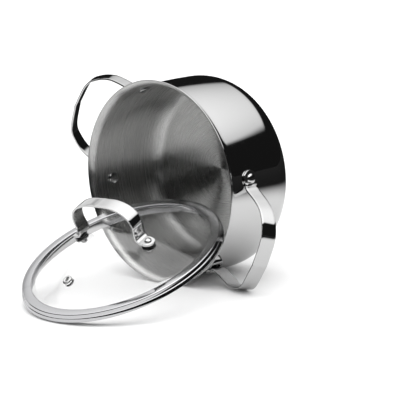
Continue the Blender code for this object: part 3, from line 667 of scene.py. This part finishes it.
def rubber(name, colour, roughness):
    """Moulded silicone: soft and half dull, with a mottle of about 1 mm from the mould."""
    made = bpy.data.materials.new(name)
    made.use_nodes = True
    tree = made.node_tree
    shader = tree.nodes["Principled BSDF"]
    shader.inputs["Base Color"].default_value = linear(colour)
    where = node(tree, "ShaderNodeTexCoord")
    mottle = node(tree, "ShaderNodeTexNoise", i2=MOTTLE, i3=2.0, Vector=where.outputs["Object"])
    rough = node(tree, "ShaderNodeMapRange", i0=mottle.outputs[0], i3=roughness - MOTTLE_SPREAD,
                 i4=roughness + MOTTLE_SPREAD)
    tree.links.new(rough.outputs[0], shader.inputs["Roughness"])
    return made


seal_inner = RING_INNER + SEAL_MARGIN
seal_low = COLLAR_RADIUS - COLLAR_WALL + SEAL_MARGIN
seal_outer = GLASS_RADIUS + SHELL_GAP + SEAL_WALL
seal_outline = [(seal_inner, groove_top - SHELL_GAP), (seal_outer, groove_top - SHELL_GAP),
                (seal_outer, groove_bottom + SHELL_GAP), (seal_low, groove_bottom + SHELL_GAP),
                (seal_low, GLASS_BOTTOM - SHELL_GAP), (GLASS_RADIUS + SHELL_GAP, GLASS_BOTTOM - SHELL_GAP),
                (GLASS_RADIUS + SHELL_GAP, GLASS_TOP + SHELL_GAP), (seal_inner, GLASS_TOP + SHELL_GAP)]
seal = turned("lid_ring_seal_pressed", seal_outline, POT_STEPS, closed=True)
seal.data.materials.append(rubber("grey_silicone", "#5A5C5E", 0.45))
put(seal, lid_place, "lid", "seal_silicone", "lid_ring_seal")


# ---------------------------------------------------------------------------
# Glass. A disc of clear soda-lime glass, slumped to a dome and tempered, with
# its edge ground round and three holes drilled before tempering.

GLASS_THICKNESS = 0.0034
GLASS_RISE = 0.0290
GLASS_DOME = 0.1074
SCREW_HOLE = 0.0023
VENT_HOLE = 0.0048
GLASS_ROWS = 24
GLASS_STEPS = 160
LID_DRILL = 0.02
SMEARS = 45.0  # waves per metre
SMEAR_RANGE = (0.45, 0.75)
SMEAR_ROUGHNESS = 0.035

dome_sphere = (GLASS_DOME ** 2 + GLASS_RISE ** 2) / (2 * GLASS_RISE)
dome_centre = Vector((0, 0, GLASS_TOP + GLASS_RISE - dome_sphere))


def dome_height(reach, drop=0.0):
    """Height of the glass's upper face at a distance from the lid's axis."""
    return dome_centre.z - drop + math.sqrt(dome_sphere ** 2 - reach ** 2)


def dome_place(slope, facing):
    """A place on the glass's upper face, with Z pointing straight out of it."""
    out = Vector((math.sin(slope) * math.cos(facing), math.sin(slope) * math.sin(facing), math.cos(slope)))
    turn = Vector((0, 0, 1)).rotation_difference(out).to_matrix().to_4x4()
    return Matrix.Translation(dome_centre + out * dome_sphere) @ turn


rows = [GLASS_DOME * i / GLASS_ROWS for i in range(GLASS_ROWS + 1)]
upper = [(reach, dome_height(reach)) for reach in rows]
lower = [(reach, dome_height(reach, GLASS_THICKNESS)) for reach in reversed(rows)]
ground_edge = arc((GLASS_RADIUS - GLASS_THICKNESS / 2, (GLASS_TOP + GLASS_BOTTOM) / 2),
                  (GLASS_THICKNESS / 2, GLASS_THICKNESS / 2), 90, -90, 9)
glass = turned("lid_glass_slumped", upper + ground_edge + lower, GLASS_STEPS)

FOOT_SPREAD = 0.0535
VENT_REACH = 0.0755
VENT_TURN = -8.0
foot_slope = math.asin(FOOT_SPREAD / dome_sphere)
feet = {"right": dome_place(foot_slope, math.radians(90)), "left": dome_place(foot_slope, math.radians(-90))}
vent_place = dome_place(math.asin(VENT_REACH / dome_sphere), math.radians(VENT_TURN))
for placement in feet.values():
    bore([glass], SCREW_HOLE, LID_DRILL, placement)
bore([glass], VENT_HOLE, LID_DRILL, vent_place)

# Tempered soda-lime glass: clear and colourless, with wiping smears. It lets the light through to
# what is under it, since a clear pane casts next to no shadow.
CLEAR_GLASS = bpy.data.materials.new("tempered_soda_lime_glass")
CLEAR_GLASS.use_nodes = True
tree = CLEAR_GLASS.node_tree
shader = tree.nodes["Principled BSDF"]
shader.inputs["Base Color"].default_value = linear("#FCFCFC")
shader.inputs["IOR"].default_value = 1.5
shader.inputs["Transmission Weight"].default_value = 1.0
where = node(tree, "ShaderNodeTexCoord")
smear = node(tree, "ShaderNodeTexNoise", i2=SMEARS, i3=3.0, Vector=where.outputs["Object"])
rough = node(tree, "ShaderNodeMapRange", i0=smear.outputs[0], i1=SMEAR_RANGE[0], i2=SMEAR_RANGE[1],
             i3=0.0, i4=SMEAR_ROUGHNESS)
tree.links.new(rough.outputs[0], shader.inputs["Roughness"])
rays = node(tree, "ShaderNodeLightPath")
lamp = node(tree, "ShaderNodeMath", {"operation": "MAXIMUM"}, i0=rays.outputs["Is Shadow Ray"],
            i1=rays.outputs["Is Diffuse Ray"])
clear = node(tree, "ShaderNodeBsdfTransparent", i0=linear("#FCFCFC"))
pane = node(tree, "ShaderNodeMixShader", i0=lamp.outputs[0], i1=shader.outputs[0], i2=clear.outputs[0])
tree.links.new(pane.outputs[0], tree.nodes["Material Output"].inputs["Surface"])
glass.data.materials.append(CLEAR_GLASS)
put(glass, lid_place, "lid", "lid_glass", "lid_glass")


# ---------------------------------------------------------------------------
# Lid handle. A narrower strap of the same polished steel, bent into an arch
# with two flat round feet.

LID_STRAP_WIDTH = 0.0170
LID_STRAP_THICKNESS = 0.0024
LID_LUG_RADIUS = 0.0088
LID_HANDLE_REACH = 0.0460
GASKET_THICKNESS = 0.0010
FOOT_RISE = 0.0008

foot_height = (dome_height(FOOT_SPREAD) + 2 * SHELL_GAP + GASKET_THICKNESS + LID_STRAP_THICKNESS / 2
               + FOOT_RISE)
foot = Vector((0, FOOT_SPREAD, foot_height))
foot_along = Vector((0, -math.cos(foot_slope), math.sin(foot_slope)))
foot_across = Vector((-1, 0, 0))
stations = round_end(foot, foot_along, foot_across, LID_LUG_RADIUS, LID_STRAP_WIDTH / 2, LUG_NECK)
arch = [(-0.0062, 0.0012), (-0.0088, 0.0060), (-0.0078, 0.0130), (-0.0068, 0.0220), (-0.0100, 0.0320),
        (-0.0190, 0.0400), (-0.0340, 0.0448), (-FOOT_SPREAD, LID_HANDLE_REACH)]
for sideways, rise in smooth_path(arch, CURVE_STEPS):
    stations.append((Vector((0, FOOT_SPREAD + sideways, foot_height + rise)), foot_across,
                     LID_STRAP_WIDTH / 2))
grip = bent_strap("lid_handle_bent", with_mirror(stations), LID_STRAP_THICKNESS)
for placement in feet.values():
    bore([grip], SCREW_HOLE, LID_DRILL, placement)
grip.data.materials.append(MIRROR_STEEL)
put(grip, lid_place, "lid", "handle_steel", "lid_handle")


# ---------------------------------------------------------------------------
# Lid fixings. At each foot a domed M4 stainless screw goes through a black
# silicone gasket, the glass, a second gasket, a washer and a hexagonal nut.

SCREW_RADIUS = 0.0020
SCREW_HEAD_RADIUS = 0.0042
SCREW_HEAD_HEIGHT = 0.0020
NUT_RADIUS = 0.0040
NUT_HEIGHT = 0.0032
NUT_SIDES = 6
WASHER_THICKNESS = 0.0008
HOLLOW_SAG = 0.0004
THREAD_END = 0.0006
THREAD_CHAMFER = 0.0003
GASKET_MARGIN = 0.0008
WASHER_SHARE = 0.92  # of the gasket's radius
DISC_STEPS = 48
SCREW_STEPS = 40
DISC_EDGE = 0.00015

gasket_radius = LID_LUG_RADIUS - GASKET_MARGIN
under_bottom = -GLASS_THICKNESS - SHELL_GAP - HOLLOW_SAG - GASKET_THICKNESS
backing_bottom = under_bottom - SHELL_GAP - WASHER_THICKNESS
nut_bottom = backing_bottom - SHELL_GAP - NUT_HEIGHT
head_foot = 2 * SHELL_GAP + GASKET_THICKNESS + FOOT_RISE + LID_STRAP_THICKNESS + HOLLOW_SAG
BLACK_SILICONE = rubber("black_silicone", "#1A1A1A", 0.55)
# Stainless as rolled, for pressed washers and nuts: bright but blurred, mottled every millimetre.
FIXING_STEEL = steel("bright_rolled_stainless", "#C8C8C8", 0.18, 0.05, (900.0, 900.0, 900.0))
for hand, placement in feet.items():
    for name, bottom, thickness, radius, steps, made, slot_name in (
            ("foot_gasket", SHELL_GAP, GASKET_THICKNESS, gasket_radius, DISC_STEPS, BLACK_SILICONE,
             "gasket_rubber"),
            ("under_gasket", under_bottom, GASKET_THICKNESS, gasket_radius, DISC_STEPS, BLACK_SILICONE,
             "gasket_rubber"),
            ("backing_washer", backing_bottom, WASHER_THICKNESS, gasket_radius * WASHER_SHARE, DISC_STEPS,
             FIXING_STEEL, "fixing_steel"),
            ("lid_nut", nut_bottom, NUT_HEIGHT, NUT_RADIUS, NUT_SIDES, FIXING_STEEL, "fixing_steel")):
        top = bottom + thickness
        disc = turned(f"{name}_{hand}_fitted", [(SCREW_HOLE, top), (radius, top), (radius, bottom),
                                                (SCREW_HOLE, bottom)], steps, closed=True)
        finish_with(disc, "BEVEL", "eased_edge", width=DISC_EDGE, segments=2, limit_method="ANGLE",
                    angle_limit=math.radians(EDGE_ANGLE))
        disc.data.materials.append(made)
        put(disc, lid_place @ placement, "lid", slot_name, f"{name}_{hand}")
    screw = turned(f"lid_screw_{hand}_fitted",
                   arc((0.0, head_foot), (SCREW_HEAD_RADIUS, SCREW_HEAD_HEIGHT), 90, 0, 12)
                   + [(SCREW_RADIUS, head_foot), (SCREW_RADIUS, nut_bottom - THREAD_END + THREAD_CHAMFER),
                      (SCREW_RADIUS - THREAD_CHAMFER, nut_bottom - THREAD_END),
                      (0.0, nut_bottom - THREAD_END)], SCREW_STEPS)
    screw.data.materials.append(MIRROR_STEEL)
    put(screw, lid_place @ placement, "lid", "fixing_steel", f"lid_screw_{hand}")


# ---------------------------------------------------------------------------
# Steam vent. A turned stainless eyelet in a black silicone sleeve, with a
# collar pressed on its tail under the glass.

VENT_FLANGE = 0.0058
VENT_TUBE = 0.0034
VENT_BORE = 0.0020
SLEEVE_WALL = 0.0008
SLEEVE_LIP = 0.0004  # how far the eyelet's flange stands past the sleeve's
SLEEVE_TAIL = 0.0010
EYELET_RISE = 0.0010
EYELET_TAIL = 0.0016
COLLAR_THICKNESS = 0.0008

sleeve_radius = VENT_TUBE + SHELL_GAP + SLEEVE_WALL
sleeve_top = SHELL_GAP + SLEEVE_WALL
sleeve_bottom = -GLASS_THICKNESS - SLEEVE_TAIL
eyelet_top = sleeve_top + SHELL_GAP + EYELET_RISE
eyelet_bottom = sleeve_bottom - EYELET_TAIL
collar_top = sleeve_bottom - SHELL_GAP
for name, outline, made, slot_name in (
        ("vent_sleeve", [(VENT_TUBE + SHELL_GAP, sleeve_top), (VENT_FLANGE - SLEEVE_LIP, sleeve_top),
                         (VENT_FLANGE - SLEEVE_LIP, SHELL_GAP), (sleeve_radius, SHELL_GAP),
                         (sleeve_radius, sleeve_bottom), (VENT_TUBE + SHELL_GAP, sleeve_bottom)],
         BLACK_SILICONE, "gasket_rubber"),
        ("vent_eyelet", [(VENT_BORE, eyelet_top - 0.0008), (VENT_BORE + 0.0002, eyelet_top - 0.0004),
                         (VENT_BORE + 0.0010, eyelet_top), (VENT_FLANGE - 0.0012, eyelet_top),
                         (VENT_FLANGE - 0.0003, eyelet_top - 0.0004), (VENT_FLANGE, eyelet_top - EYELET_RISE),
                         (VENT_TUBE, eyelet_top - EYELET_RISE), (VENT_TUBE, eyelet_bottom),
                         (VENT_BORE, eyelet_bottom)], MIRROR_STEEL, "fixing_steel"),
        ("vent_collar", [(VENT_TUBE + SHELL_GAP, collar_top), (VENT_FLANGE, collar_top),
                         (VENT_FLANGE, collar_top - COLLAR_THICKNESS),
                         (VENT_TUBE + SHELL_GAP, collar_top - COLLAR_THICKNESS)],
         FIXING_STEEL, "fixing_steel")):
    fitting = turned(f"{name}_fitted", outline, DISC_STEPS, closed=True)
    fitting.data.materials.append(made)
    put(fitting, lid_place @ vent_place, "lid", slot_name, name)
